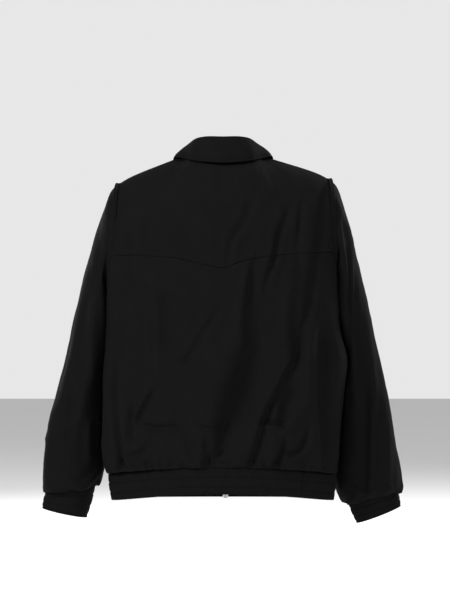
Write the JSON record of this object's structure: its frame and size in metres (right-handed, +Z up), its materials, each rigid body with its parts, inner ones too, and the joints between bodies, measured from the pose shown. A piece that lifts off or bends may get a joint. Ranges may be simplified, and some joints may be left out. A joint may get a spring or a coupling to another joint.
{
  "type": "bomber jacket",
  "caption": "Plain black woven bomber jacket with a turned-down collar, pointed back yoke, front zip, and shirred elastic waistband and cuffs, filled out as if worn.",
  "frame": {"origin": "middle of the back neck seam, where the wearer's neck and shoulders hold the jacket up", "axes": "+X to the wearer's left, -Y to the front, +Z up"},
  "size_m": [0.7454, 0.2958, 0.7952],
  "materials": {
    "cloth": "near-black fine matt weave with a faint sheen",
    "band": "the same cloth drawn up on elastic in fine upright shirring",
    "tape": "black woven zip tape",
    "metal": "dull silvery metal"
  },
  "bodies": {
    "jacket": {"back_yoke": "cloth", "back_body": "cloth", "front_left": "cloth", "front_right": "cloth", "sleeve_left": "cloth", "sleeve_right": "cloth", "cuff_left": "band", "cuff_right": "band", "waistband_back_left": "band", "waistband_back_right": "band", "waistband_front_left": "band", "waistband_front_right": "band", "collar": "cloth", "zip_tape_left": "tape", "zip_tape_right": "tape", "zip_chain": "metal", "zip_box": "metal", "zip_slider": "metal"},
    "zip_pull": {"zip_pull": "metal"}
  },
  "joints": [
    {"name": "pull_swing", "type": "hinge", "parent": "jacket", "child": "zip_pull", "pos_m": [-0.00496, -0.11491, -0.09833], "axis": [-1, 0, 0], "range_deg": [0, 150]}
  ]
}
